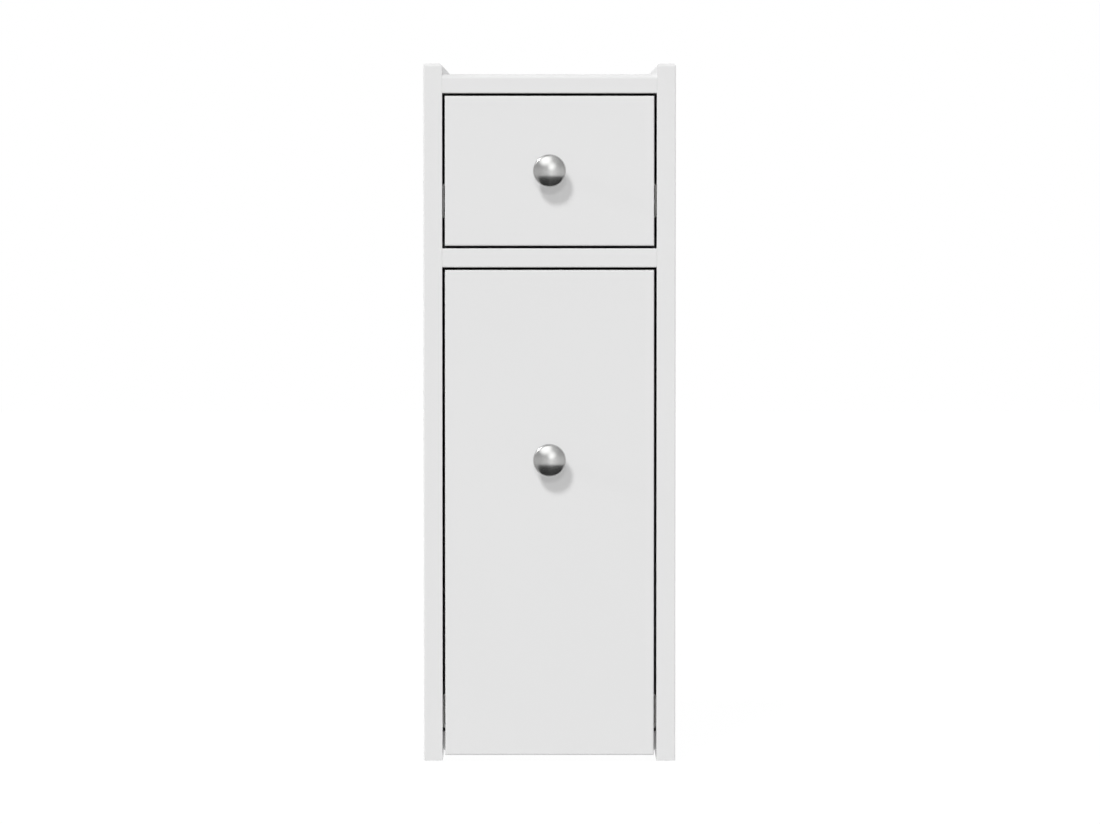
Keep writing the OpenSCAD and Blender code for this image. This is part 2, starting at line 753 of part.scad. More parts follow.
module drawer_back() {
    back_z = bottom_z + bottom_t + groove_gap;
    color(white) difference() {
        translate([-inner_w / 2, box_back_y, back_z])
            eased_board([inner_w, side_t, drawer_box_z + drawer_side_h - back_z],
                along_x = [0, 0, ease, ease]);
        both_sides() at_drawer_screws() flat_screw(box_screw, fit / 2);
    }
}

module drawer_bottom() {
    held = bottom_groove_d - groove_end;
    color(hardboard) translate([-inner_w / 2 - held, box_y - held, bottom_z])
        cube([inner_w + 2 * held, box_l + held, bottom_t]);
}

module drawer_slide_left() { color(epoxy_white) drawer_member(drawer_runner_z); }
module drawer_slide_right() { color(epoxy_white) mirror([1, 0, 0]) drawer_member(drawer_runner_z); }
module drawer_slide_screws() { slide_screws(drawer_runner_z); }
module drawer_slide_axles() { slide_axles(drawer_runner_z); }
module drawer_cam_locks() { color(zinc) both_sides() into_side(drawer_cam_z) cam_lock(side_t); }
module drawer_cam_bolts() { color(zinc) both_sides() into_side(drawer_cam_z) cam_bolt(side_t); }

module drawer_dowels() {
    color(beech) both_sides() for (z = drawer_dowel_zs) into_side(z) dowel_pin(small_dowel);
}

module drawer_box_screws() { color(zinc) both_sides() at_drawer_screws() flat_screw(box_screw); }

// ---- Pull-out rack ----

// Turns a fitting so that it runs back from the front, with the lock facing down.
module into_board(x, z) {
    translate([-x, box_y, z]) rotate([0, 0, 90]) children();
}

module at_rack_dowels() {
    into_side(tray_dowel_z) children();
    into_board(base_dowel_x, rack_box_z + side_t / 2) children();
    into_board(shelf_dowel_x, shelf_z + side_t / 2) children();
    into_board(rail_x, rail_z + rail_h / 2) children();
    for (y = base_dowel_ys) translate([-inner_w / 2, y, rack_box_z + side_t / 2]) children();
}

module at_rear_screws() {
    for (spot = rear_screw_spots)
        translate([-spot[0], box_y + box_l, spot[1]]) rotate([90, 0, 0]) children();
}

module rack_front() {
    color(white) difference() {
        front_board(rack_front_z, rack_front_h);
        at_rack_knob() knob_bore();
        both_sides() {
            into_side(tray_cam_z) cam_face_bore();
            into_board(shelf_cam_x, shelf_z + side_t / 2) cam_face_bore();
            at_rack_dowels() dowel_bore(small_dowel);
        }
    }
}

module rack_side() {
    difference() {
        translate([-box_w / 2, box_y, rack_box_z])
            eased_board([side_t, tray_l, tray_side_h], along_y = [ease, 0, ease, ease]);
        into_side(tray_cam_z) cam_edge_bores(side_t);
        at_rack_dowels() dowel_bore(small_dowel);
        at_rear_screws() flat_screw(box_screw, fit / 2);
        at_slide_screws(rack_runner_z) flat_screw(slide_screw, fit / 2);
    }
}

module rack_side_left() { color(white) rack_side(); }
module rack_side_right() { color(white) mirror([1, 0, 0]) rack_side(); }

module rack_base() {
    color(white) difference() {
        translate([-inner_w / 2, box_y, rack_box_z]) cube([inner_w, tray_l, side_t]);
        both_sides() {
            at_rack_dowels() dowel_bore(small_dowel);
            at_rear_screws() flat_screw(box_screw, fit / 2);
        }
    }
}

module rack_back() {
    color(white) difference() {
        translate([-box_w / 2, box_y + tray_l, rack_box_z])
            eased_board([box_w, side_t, rack_back_h], upright = [ease, ease, ease, ease],
                along_x = [0, ease, ease, ease]);
        both_sides() at_rear_screws() flat_screw(box_screw, fit / 2);
    }
}

module rack_shelf() {
    color(white) difference() {
        translate([-box_w / 2, box_y, shelf_z])
            eased_board([box_w, tray_l, side_t], along_y = [ease, ease, ease, ease]);
        both_sides() {
            into_board(shelf_cam_x, shelf_z + side_t / 2) cam_edge_bores(side_t);
            at_rack_dowels() dowel_bore(small_dowel);
            at_rear_screws() flat_screw(box_screw, fit / 2);
        }
    }
}

module shelf_rail() {
    difference() {
        translate([-box_w / 2, box_y, rail_z])
            eased_board([rail_t, tray_l, rail_h], along_y = [ease, ease, ease, ease]);
        at_rack_dowels() dowel_bore(small_dowel);
        at_rear_screws() flat_screw(box_screw, fit / 2);
    }
}

module shelf_rail_left() { color(white) shelf_rail(); }
module shelf_rail_right() { color(white) mirror([1, 0, 0]) shelf_rail(); }
module rack_slide_left() { color(epoxy_white) drawer_member(rack_runner_z); }
module rack_slide_right() { color(epoxy_white) mirror([1, 0, 0]) drawer_member(rack_runner_z); }
module rack_slide_screws() { slide_screws(rack_runner_z); }
module rack_slide_axles() { slide_axles(rack_runner_z); }

module rack_cam_locks() {
    color(zinc) both_sides() {
        into_side(tray_cam_z) cam_lock(side_t);
        into_board(shelf_cam_x, shelf_z + side_t / 2) cam_lock(side_t);
    }
}

module rack_cam_bolts() {
    color(zinc) both_sides() {
        into_side(tray_cam_z) cam_bolt(side_t);
        into_board(shelf_cam_x, shelf_z + side_t / 2) cam_bolt(side_t);
    }
}

module rack_dowels() { color(beech) both_sides() at_rack_dowels() dowel_pin(small_dowel); }
module rack_box_screws() { color(zinc) both_sides() at_rear_screws() flat_screw(box_screw); }

// ---- Rollers ----

module drawer_front_roller_left() { roller_at(front_axle_y, drawer_runner_z, false); }
module drawer_front_roller_right() { mirror([1, 0, 0]) drawer_front_roller_left(); }
module drawer_rear_roller_left() { roller_at(rear_axle_y, drawer_runner_z, true); }
module drawer_rear_roller_right() { mirror([1, 0, 0]) drawer_rear_roller_left(); }
module rack_front_roller_left() { roller_at(front_axle_y, rack_runner_z, false); }
module rack_front_roller_right() { mirror([1, 0, 0]) rack_front_roller_left(); }
module rack_rear_roller_left() { roller_at(rear_axle_y, rack_runner_z, true); }
module rack_rear_roller_right() { mirror([1, 0, 0]) rack_rear_roller_left(); }

side_panel_left();
side_panel_right();
top_panel();
divider_panel();
base_panel();
back_panel();
carcass_cam_locks();
carcass_cam_bolts();
carcass_dowels();
back_panel_screws();
floor_glides();
drawer_runner_left();
drawer_runner_right();
rack_runner_left();
rack_runner_right();
runner_screws();
runner_axles();
drawer_front();
drawer_side_left();
drawer_side_right();
drawer_back();
drawer_bottom();
drawer_slide_left();
drawer_slide_right();
drawer_slide_screws();
drawer_slide_axles();
drawer_knob();
drawer_knob_screw();
drawer_cam_locks();
drawer_cam_bolts();
drawer_dowels();
drawer_box_screws();
rack_front();
rack_base();
rack_side_left();
rack_side_right();
rack_back();
rack_shelf();
shelf_rail_left();
shelf_rail_right();
rack_slide_left();
rack_slide_right();
rack_slide_screws();
rack_slide_axles();
rack_knob();
rack_knob_screw();
rack_cam_locks();
rack_cam_bolts();
rack_dowels();
rack_box_screws();
drawer_front_roller_left();
drawer_front_roller_right();
drawer_rear_roller_left();
drawer_rear_roller_right();
rack_front_roller_left();
rack_front_roller_right();
rack_rear_roller_left();
rack_rear_roller_right();
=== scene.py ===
import math

import bmesh
import bpy
from mathutils import Matrix, Vector


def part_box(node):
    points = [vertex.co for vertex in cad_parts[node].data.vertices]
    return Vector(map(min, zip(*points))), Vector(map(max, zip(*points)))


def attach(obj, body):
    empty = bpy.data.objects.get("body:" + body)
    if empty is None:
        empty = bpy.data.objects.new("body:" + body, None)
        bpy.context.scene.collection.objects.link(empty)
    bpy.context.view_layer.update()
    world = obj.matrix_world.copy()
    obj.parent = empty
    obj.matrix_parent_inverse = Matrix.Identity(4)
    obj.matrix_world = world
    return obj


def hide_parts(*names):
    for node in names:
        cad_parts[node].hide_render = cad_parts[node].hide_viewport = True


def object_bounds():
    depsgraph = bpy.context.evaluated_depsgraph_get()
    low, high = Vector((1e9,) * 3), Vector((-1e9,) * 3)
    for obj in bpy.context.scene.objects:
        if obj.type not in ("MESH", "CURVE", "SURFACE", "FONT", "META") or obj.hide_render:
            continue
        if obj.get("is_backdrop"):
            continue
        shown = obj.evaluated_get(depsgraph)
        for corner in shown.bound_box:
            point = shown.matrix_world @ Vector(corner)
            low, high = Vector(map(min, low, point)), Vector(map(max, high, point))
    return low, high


# Slim toilet roll storage cabinet, in metres: the fronts face -Y, +Z is up, and the origin is on
# the floor under the middle. The sections follow the cabinet as it is put together.
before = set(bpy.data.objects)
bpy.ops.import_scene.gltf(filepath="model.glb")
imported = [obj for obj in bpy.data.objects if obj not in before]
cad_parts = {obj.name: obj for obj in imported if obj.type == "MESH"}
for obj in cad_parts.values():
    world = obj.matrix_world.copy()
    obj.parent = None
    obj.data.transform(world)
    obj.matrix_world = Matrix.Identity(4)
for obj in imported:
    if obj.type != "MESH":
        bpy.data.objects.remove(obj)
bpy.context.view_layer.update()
MM = 0.001

# ---- Side panels, top panel, divider panel and base panel ----
# Medium-density fibreboard, 15 mm, its arrises rounded by a router, then sprayed with a satin white
# lacquer on every face. The side panels stand on glides and rise a little above the top panel.


def linear(colour):
    """The linear colour of an sRGB hex value."""
    parts = [int(colour[i:i + 2], 16) / 255 for i in (1, 3, 5)]
    return [c / 12.92 if c <= 0.04045 else ((c + 0.055) / 1.055) ** 2.4 for c in parts] + [1]


def node(tree, kind, inputs=(), **settings):
    """Adds a shader node. An input is a value, or another node's output that is linked to it."""
    made = tree.nodes.new("ShaderNode" + kind)
    for name, value in settings.items():
        setattr(made, name, value)
    for name, value in dict(inputs).items():
        if isinstance(value, bpy.types.NodeSocket):
            tree.links.new(value, made.inputs[name])
        else:
            made.inputs[name].default_value = value
    return made


def new_material(name):
    """An empty material with its output: the material, its tree and the output's surface input."""
    material = bpy.data.materials.new(name)
    material.use_nodes = True
    material.node_tree.nodes.clear()
    output = node(material.node_tree, "OutputMaterial")
    return material, material.node_tree, output.inputs["Surface"]


def coat(material, *names):
    """Gives CAD nodes this finish in every material slot."""
    for name in names:
        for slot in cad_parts[name].material_slots:
            slot.material = material


# Satin lacquer: an even, slightly broken sheen. The spray leaves an orange peel of about 2 mm, too
# fine for this distance, so it is drawn at 5 mm, and the film varies a little over a hand's width.
LACQUER_WHITE = "#EAEAEA"
LACQUER_THIN = "#E8E8E8"
LACQUER_PEEL = 5 * MM
LACQUER_DRIFT = 90 * MM

lacquer, tree, surface = new_material("satin_white_lacquer_on_fibreboard")
place = node(tree, "TexCoord").outputs["Object"]
drift = node(tree, "TexNoise", {"Vector": place, "Scale": 1 / LACQUER_DRIFT, "Detail": 2.0})
film = node(tree, "Mix", {"Factor": drift.outputs["Fac"], "A": linear(LACQUER_WHITE),
                          "B": linear(LACQUER_THIN)}, data_type="RGBA")
peel = node(tree, "TexNoise", {"Vector": place, "Scale": 1 / LACQUER_PEEL, "Detail": 3.0,
                               "Roughness": 0.45})
sheen = node(tree, "MapRange", {"Value": peel.outputs["Fac"], "To Min": 0.36, "To Max": 0.44})
relief = node(tree, "Bump", {"Height": peel.outputs["Fac"], "Strength": 0.12,
                             "Distance": 0.05 * MM})
paint = node(tree, "BsdfPrincipled", {"Base Color": film.outputs["Result"], "IOR": 1.5,
                                      "Roughness": sheen.outputs["Result"],
                                      "Normal": relief.outputs["Normal"]})
tree.links.new(paint.outputs["BSDF"], surface)

coat(lacquer, "side_panel_left", "side_panel_right", "top_panel", "divider_panel", "base_panel")

# ---- Cam bolts, cam locks and dowels of the carcass ----
# Knock-down fittings: a zinc-plated bolt screwed into one board and caught by a die-cast zinc lock
# that is turned in the other with a cross-head driver, and beech dowels that line the boards up.
NEAR = 0.001 * MM                           # points closer than this are one
SHARP = math.radians(35)                    # edges that turn by more than this stay sharp
TURN_STEP = 0.7                             # each fitting's cross is turned on by this, in radians
CROSS_ABOVE = 0.1 * MM                      # how far a cross cutter starts outside the face
CROSS_TAPER = 0.4                           # width at a cross recess's foot, as a share of its top
LOCK_CROSS = 0.46                           # width of a lock's cross, as a share of its diameter
LOCK_CROSS_DEPTH = 1.6 * MM


def solids(name):
    """The lowest and highest corner of each separate solid of a CAD node."""
    mesh = bmesh.new()
    mesh.from_mesh(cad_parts[name].data)
    bmesh.ops.remove_doubles(mesh, verts=mesh.verts, dist=NEAR)
    boxes, waiting = [], set(mesh.verts)
    while waiting:
        reached, found = [waiting.pop()], []
        while reached:
            vertex = reached.pop()
            found.append(vertex.co.copy())
            for other in (edge.other_vert(vertex) for edge in vertex.link_edges):
                if other in waiting:
                    waiting.remove(other)
                    reached.append(other)
        low = Vector([min(point[i] for point in found) for i in range(3)])
        high = Vector([max(point[i] for point in found) for i in range(3)])
        boxes.append((low, high))
    mesh.free()
    return sorted(boxes, key=lambda box: [round(value, 5) for value in box[0]])


def only(piece):
    """Deselects everything but this piece and makes it the active one."""
    bpy.ops.object.select_all(action="DESELECT")
    piece.select_set(True)
    bpy.context.view_layer.objects.active = piece


def smooth(piece, sharp=SHARP):
    """Shades a piece smooth, apart from its sharp edges."""
    only(piece)
    bpy.ops.object.shade_smooth_by_angle(angle=sharp)


def copy_of(name, piece_name):
    """A piece with a copy of a CAD node's mesh, its doubles merged."""
    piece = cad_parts[name].copy()
    piece.data = piece.data.copy()
    piece.parent = None
    for key in list(piece.keys()):
        del piece[key]
    piece.name = piece_name
    bpy.context.scene.collection.objects.link(piece)
    only(piece)
    bpy.ops.object.mode_set(mode="EDIT")
    bpy.ops.mesh.select_all(action="SELECT")
    bpy.ops.mesh.remove_doubles(threshold=NEAR)
    bpy.ops.object.mode_set(mode="OBJECT")
    if piece.data.has_custom_normals:
        bpy.ops.mesh.customdata_custom_splitnormals_clear()
    return piece


def joined(pieces, name):
    """Joins pieces into one that stands at the origin."""
    bpy.ops.object.select_all(action="DESELECT")
    for piece in pieces:
        piece.select_set(True)
    bpy.context.view_layer.objects.active = pieces[0]
    if len(pieces) > 1:
        bpy.ops.object.join()
    bpy.ops.object.transform_apply(location=True, rotation=True, scale=True)
    pieces[0].name = name
    return pieces[0]


def edit_faces(piece, chosen):
    """Goes into edit mode with only those faces selected whose centres are chosen."""
    only(piece)
    bpy.ops.object.mode_set(mode="EDIT")
    bpy.ops.mesh.select_mode(type="FACE")
    bpy.ops.mesh.select_all(action="DESELECT")
    bpy.ops.object.mode_set(mode="OBJECT")
    for polygon in piece.data.polygons:
        polygon.select = chosen(polygon.center)
    bpy.ops.object.mode_set(mode="EDIT")


def cross_cutter(width, depth):
    """Tapered cross for a driver's recess. It is open just before z = 0 and points to +Z."""
    bpy.ops.object.select_all(action="DESELECT")
    bpy.ops.mesh.primitive_grid_add(x_subdivisions=3, y_subdivisions=3, size=width,
                                    location=(0, 0, -CROSS_ABOVE))
    cutter = bpy.context.object
    half_arm = width / 6
    edit_faces(cutter, lambda at: abs(at.x) > half_arm and abs(at.y) > half_arm)
    bpy.ops.mesh.delete(type="FACE")
    bpy.ops.mesh.select_all(action="SELECT")
    bpy.ops.mesh.extrude_region_move(
        TRANSFORM_OT_translate={"value": (0, 0, depth + CROSS_ABOVE)})
    bpy.ops.transform.resize(value=(CROSS_TAPER, CROSS_TAPER, 1), center_override=(0, 0, depth))
    bpy.ops.mesh.select_all(action="SELECT")
    bpy.ops.mesh.normals_make_consistent(inside=False)
    bpy.ops.object.mode_set(mode="OBJECT")
    bpy.ops.object.transform_apply(location=True, rotation=True, scale=True)
    return cutter


def copies(model, spots):
    """Copies of a model, each with its own mesh. A spot is a place, the way that the model's -Z end
    faces, and a turn about that way."""
    made = []
    for at, facing, turn in spots:
        piece = model.copy()
        piece.data = model.data.copy()
        bpy.context.scene.collection.objects.link(piece)
        tilt = (-facing).to_track_quat("Z", "Y").to_matrix().to_4x4()
        piece.matrix_world = Matrix.Translation(at) @ tilt @ Matrix.Rotation(turn, 4, "Z")
        made.append(piece)
    return made


def cut_away(piece, cutter):
    """Takes the cutter's space out of the piece and removes the cutter."""
    only(piece)
    cut = piece.modifiers.new("recess", "BOOLEAN")
    cut.operation = "DIFFERENCE"
    cut.solver = "EXACT"
    cut.object = cutter
    bpy.ops.object.modifier_apply(modifier=cut.name)
    bpy.data.objects.remove(cutter)


def towards_middle(centre):
    """The way along X from a place to the middle of the cabinet."""
    return Vector((-1 if centre.x > 0 else 1, 0, 0))


def cam_locks(name, piece_name, body):
    """The locks of one CAD node with the cross for the driver cut in their open faces."""
    piece = copy_of(name, piece_name)
    spots = []
    for i, (low, high) in enumerate(solids(name)):
        centre, size = (low + high) / 2, high - low
        facing = Vector((0, 0, -1)) if size.z < size.x else towards_middle(centre)
        face = centre + facing * min(size) / 2
        spots.append((face, facing, i * TURN_STEP))
    cross = cross_cutter(LOCK_CROSS * max(size), LOCK_CROSS_DEPTH)
    cutter = joined(copies(cross, spots), "lock_crosses")
    bpy.data.objects.remove(cross)
    cut_away(piece, cutter)
    smooth(piece)
    piece.data.materials.clear()
    piece.data.materials.append(die_cast)
    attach(piece, body)
    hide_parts(name)


# Bare die-cast zinc: a dull, cool grey with the mould's fine grain, and small cloudy patches where
# the melt ran together.
DIE_CAST_DARK, DIE_CAST_PALE = "#8E9092", "#A9ABAC"
DIE_CAST_CLOUD = 4 * MM
DIE_CAST_GRAIN = 0.6 * MM

die_cast, tree, surface = new_material("bare_die_cast_zinc")
place = node(tree, "TexCoord").outputs["Object"]
cloud = node(tree, "TexNoise", {"Vector": place, "Scale": 1 / DIE_CAST_CLOUD, "Detail": 3.0})
grain = node(tree, "TexNoise", {"Vector": place, "Scale": 1 / DIE_CAST_GRAIN, "Detail": 2.0})
melt = node(tree, "Mix", {"Factor": cloud.outputs["Fac"], "A": linear(DIE_CAST_DARK),
                          "B": linear(DIE_CAST_PALE)}, data_type="RGBA")
dull = node(tree, "MapRange", {"Value": cloud.outputs["Fac"], "To Min": 0.42, "To Max": 0.6})
relief = node(tree, "Bump", {"Height": grain.outputs["Fac"], "Strength": 0.3,
                             "Distance": 0.05 * MM})
metal = node(tree, "BsdfPrincipled", {"Base Color": melt.outputs["Result"], "Metallic": 1.0,
                                      "Roughness": dull.outputs["Result"],
                                      "Normal": relief.outputs["Normal"]})
tree.links.new(metal.outputs["BSDF"], surface)

# Bright zinc plate on steel: a bluish white metal whose shine is broken by a fine bloom.
ZINC_DARK, ZINC_PALE = "#B4B8BC", "#C9CCCE"
ZINC_BLOOM = 1 * MM

zinc, tree, surface = new_material("bright_zinc_plate_on_steel")
place = node(tree, "TexCoord").outputs["Object"]
bloom = node(tree, "TexNoise", {"Vector": place, "Scale": 1 / ZINC_BLOOM, "Detail": 3.0})
plate = node(tree, "Mix", {"Factor": bloom.outputs["Fac"], "A": linear(ZINC_DARK),
                           "B": linear(ZINC_PALE)}, data_type="RGBA")
bright = node(tree, "MapRange", {"Value": bloom.outputs["Fac"], "To Min": 0.24, "To Max": 0.36})
relief = node(tree, "Bump", {"Height": bloom.outputs["Fac"], "Strength": 0.15,
                             "Distance": 0.03 * MM})
metal = node(tree, "BsdfPrincipled", {"Base Color": plate.outputs["Result"], "Metallic": 1.0,
                                      "Roughness": bright.outputs["Result"],
                                      "Normal": relief.outputs["Normal"]})
tree.links.new(metal.outputs["BSDF"], surface)

# Bare beech: warm, pale and matt, with its grain drawn out along the carcass's dowels and with
# short darker rays.
BEECH_DARK, BEECH_PALE, BEECH_RAY = "#C9A57C", "#DFC29C", "#9C7650"
BEECH_GRAIN_WIDTH = 0.8 * MM
BEECH_RAY_SPACING = 1.2 * MM
BEECH_STRETCH = 0.08                        # pattern scale along the grain

beech, tree, surface = new_material("bare_fluted_beech")
place = node(tree, "TexCoord").outputs["Object"]
along = node(tree, "Mapping", {"Vector": place, "Scale": (BEECH_STRETCH, 1, 1)})
grain = node(tree, "TexNoise", {"Vector": along.outputs["Vector"], "Detail": 4.0,
                                "Scale": 1 / BEECH_GRAIN_WIDTH, "Roughness": 0.6})
rays = node(tree, "TexVoronoi", {"Vector": along.outputs["Vector"],
                                 "Scale": 1 / BEECH_RAY_SPACING})
fleck = node(tree, "MapRange", {"Value": rays.outputs["Distance"], "From Max": 0.25,
                                "To Min": 0.35, "To Max": 0.0})
wood = node(tree, "Mix", {"Factor": grain.outputs["Fac"], "A": linear(BEECH_DARK),
                          "B": linear(BEECH_PALE)}, data_type="RGBA")
rayed = node(tree, "Mix", {"Factor": fleck.outputs["Result"], "A": wood.outputs["Result"],
                           "B": linear(BEECH_RAY)}, data_type="RGBA")
relief = node(tree, "Bump", {"Height": grain.outputs["Fac"], "Strength": 0.4,
                             "Distance": 0.1 * MM})
bare = node(tree, "BsdfPrincipled", {"Base Color": rayed.outputs["Result"], "Roughness": 0.72,
                                     "IOR": 1.45, "Normal": relief.outputs["Normal"]})
tree.links.new(bare.outputs["BSDF"], surface)

cam_locks("carcass_cam_locks", "carcass_locks_with_cross", "cabinet")
coat(zinc, "carcass_cam_bolts")
coat(beech, "carcass_dowels")

# ---- Hardboard back ----
# Pressed hardboard, 3 mm, slid into grooves: its inner face has a white printed film, and its outer
# face is bare brown fibre with the print of the wire screen that it was pressed on.
HARDBOARD_DARK, HARDBOARD_PALE = "#6F553D", "#A78864"
HARDBOARD_FIBRE = 4 * MM
HARDBOARD_CLUMP = 60 * MM
SCREEN_PITCH = 2.2 * MM                     # the real screen is finer, about 1.3 mm
WAVE = math.pi / 10                         # a wave texture's step, divided by its scale

hardboard, tree, surface = new_material("bare_hardboard_screen_side")
place = node(tree, "TexCoord").outputs["Object"]
fibres = node(tree, "TexNoise", {"Vector": place, "Scale": 1 / HARDBOARD_FIBRE, "Detail": 6.0,
                                 "Roughness": 0.75})
clumps = node(tree, "TexNoise", {"Vector": place, "Scale": 1 / HARDBOARD_CLUMP, "Detail": 1.0})
mixed = node(tree, "Math", {0: clumps.outputs["Fac"], 1: 0.25, 2: fibres.outputs["Fac"]},
             operation="MULTIPLY_ADD")
tone = node(tree, "MapRange", {"Value": mixed.outputs["Value"], "From Min": 0.4,
                               "From Max": 0.85})
brown = node(tree, "Mix", {"Factor": tone.outputs["Result"], "A": linear(HARDBOARD_DARK),
                           "B": linear(HARDBOARD_PALE)}, data_type="RGBA")
wires = [node(tree, "TexWave", {"Vector": place, "Scale": WAVE / SCREEN_PITCH,
                                "Distortion": 0.4, "Detail": 1.0},
              wave_type="BANDS", bands_direction=across) for across in ("X", "Z")]
screen = node(tree, "Math", {0: wires[0].outputs["Fac"], 1: wires[1].outputs["Fac"]},
              operation="MULTIPLY")
pressed = node(tree, "Math", {0: screen.outputs["Value"], 1: fibres.outputs["Fac"]},
               operation="ADD")
relief = node(tree, "Bump", {"Height": pressed.outputs["Value"], "Strength": 0.5,
                             "Distance": 0.2 * MM})
bare = node(tree, "BsdfPrincipled", {"Base Color": brown.outputs["Result"], "Roughness": 0.78,
                                     "IOR": 1.45, "Normal": relief.outputs["Normal"]})
tree.links.new(bare.outputs["BSDF"], surface)

# Printed white film: flatter and a little duller than the lacquer, with fibres showing through.
FILM_DARK, FILM_PALE = "#E6E6E4", "#EDEDEB"
FILM_FIBRE = 6 * MM
FILM_FACING = 0.9                           # a face this square to the film's side carries it

film_white, tree, surface = new_material("white_film_on_hardboard")
place = node(tree, "TexCoord").outputs["Object"]
fibres = node(tree, "TexNoise", {"Vector": place, "Scale": 1 / FILM_FIBRE, "Detail": 4.0})
film = node(tree, "Mix", {"Factor": fibres.outputs["Fac"], "A": linear(FILM_DARK),
                          "B": linear(FILM_PALE)}, data_type="RGBA")
relief = node(tree, "Bump", {"Height": fibres.outputs["Fac"], "Strength": 0.15,
                             "Distance": 0.05 * MM})
foil = node(tree, "BsdfPrincipled", {"Base Color": film.outputs["Result"], "Roughness": 0.5,
                                     "IOR": 1.48, "Normal": relief.outputs["Normal"]})
tree.links.new(foil.outputs["BSDF"], surface)


def filmed_sheet(name, piece_name, body, film_side):
    """A hardboard sheet with the white film on the face that looks to film_side."""
    piece = copy_of(name, piece_name)
    piece.data.materials.clear()
    piece.data.materials.append(hardboard)
    piece.data.materials.append(film_white)
    for polygon in piece.data.polygons:
        polygon.material_index = 1 if polygon.normal.dot(film_side) > FILM_FACING else 0
    smooth(piece)
    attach(piece, body)
    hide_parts(name)


filmed_sheet("back_panel", "back_sheet", "cabinet", Vector((0, -1, 0)))

# ---- Countersunk screws ----
# Cross-recess chipboard screws in zinc-plated steel. One is turned for each size, with its recess
# pressed and its thread rolled, and is copied to every place where the CAD has such a screw.
SCREW_VERTICES = 24
SCREW_SHARP = math.radians(40)
HEAD_FLAT = 0.97                            # radius of the head's flat face, as a share of its own
HEAD_CORNER = 0.03 * MM
HEAD_RIM = 0.2 * MM                         # the straight rim under the corner
HEAD_CROSS, HEAD_CROSS_DEPTH = 0.56, 0.36   # the recess, as shares of the head's diameter
SCREW_CORE = 0.68                           # the core's radius, as a share of the shank's
SCREW_CREST = 0.98                          # the thread's
SCREW_NECK = 0.5 * MM
THREAD_START = 0.8 * MM                     # below the head's cone
SCREW_PITCH = 1.5 * MM
POINT_R, POINT_ROUND = 0.3 * MM, 0.1 * MM


def turned(name, outline, vertices, closed=False):
    """A piece turned about Z from an outline of radii and heights. An open outline starts and ends
    on the axis. A closed one comes back to its first point and leaves a bore. Each point's place in
    the piece's own frame is kept as the attribute own, for patterns that follow the turning."""
    points = [(max(radius, NEAR), height) for radius, height in outline]
    if closed:
        points.append(points[0])
    bpy.ops.object.select_all(action="DESELECT")
    bpy.ops.mesh.primitive_circle_add(vertices=vertices, radius=points[0][0],
                                      location=(0, 0, points[0][1]))
    piece = bpy.context.object
    bpy.ops.object.transform_apply(location=True, rotation=True, scale=True)
    bpy.ops.object.mode_set(mode="EDIT")
    bpy.ops.mesh.select_mode(type="VERT")
    bpy.ops.mesh.select_all(action="SELECT")
    for (radius, height), (next_radius, next_height) in zip(points, points[1:]):
        bpy.ops.mesh.extrude_region_move(
            TRANSFORM_OT_translate={"value": (0, 0, next_height - height)})
        grow = next_radius / radius
        bpy.ops.transform.resize(value=(grow, grow, 1), center_override=(0, 0, next_height))
    bpy.ops.mesh.select_all(action="SELECT")
    bpy.ops.mesh.remove_doubles(threshold=2 * NEAR)
    bpy.ops.mesh.normals_make_consistent(inside=False)
    bpy.ops.object.mode_set(mode="OBJECT")
    own = piece.data.attributes.new("own", "FLOAT_VECTOR", "POINT")
    for vertex in piece.data.vertices:
        own.data[vertex.index].vector = vertex.co
    piece.name = name
    return piece


def thread(radius, core, start, end, pitch):
    """Outline points of a thread's crests and roots, from start to end along the axis."""
    rises, crest, falls = 0.45 * pitch, 0.68 * pitch, 0.78 * pitch
    points = [(core, start)]
    for i in range(int((end - start) / pitch)):
        foot = start + i * pitch
        points += [(core, foot + rises), (radius, foot + crest), (radius, foot + falls),
                   (core, foot + pitch)]
    return points


def countersunk(name, diameter, head, length):
    """A countersunk screw with its flat face at the origin, pointing to +Z."""
    radius = diameter / 2
    core, cone_end = SCREW_CORE * radius, HEAD_RIM + (head - diameter) / 2
    taper = length - radius
    outline = [(0, 0), (HEAD_FLAT * head / 2, 0), (head / 2, HEAD_CORNER), (head / 2, HEAD_RIM),
               (radius, cone_end), (core, cone_end + SCREW_NECK)]
    outline += thread(SCREW_CREST * radius, core, cone_end + THREAD_START, taper, SCREW_PITCH)
    outline += [(0.75 * core, taper + 0.4 * radius), (POINT_R, length - POINT_ROUND), (0, length)]
    screw = turned(name, outline, SCREW_VERTICES)
    cut_away(screw, cross_cutter(HEAD_CROSS * head, HEAD_CROSS_DEPTH * head))
    smooth(screw, SCREW_SHARP)
    screw.data.materials.append(zinc)
    return screw


def screw_set(model, name, piece_name, body, facing):
    """Copies of the model at every screw of a CAD node, joined into one piece. facing gives the way
    that the head at a place looks."""
    spots = []
    for i, (low, high) in enumerate(solids(name)):
        centre, size = (low + high) / 2, high - low
        outwards = facing(centre)
        head_at = centre + outwards * abs(size.dot(outwards)) / 2
        spots.append((head_at, outwards, i * TURN_STEP))
    piece = joined(copies(model, spots), piece_name)
    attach(piece, body)
    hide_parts(name)


def to_the_back(centre):
    """The way to the cabinet's back, the same from every place."""
    return Vector((0, 1, 0))


def away_from_middle(centre):
    """The way along X from the middle of the cabinet to a place."""
    return -towards_middle(centre)


back_screw = countersunk("back_screw", diameter=3 * MM, head=6 * MM, length=22 * MM)
runner_screw = countersunk("runner_screw", diameter=3.5 * MM, head=6.4 * MM, length=13 * MM)
slide_screw = countersunk("slide_screw", diameter=3.5 * MM, head=6.4 * MM, length=10 * MM)
box_screw = countersunk("box_screw", diameter=3.5 * MM, head=7 * MM, length=36 * MM)

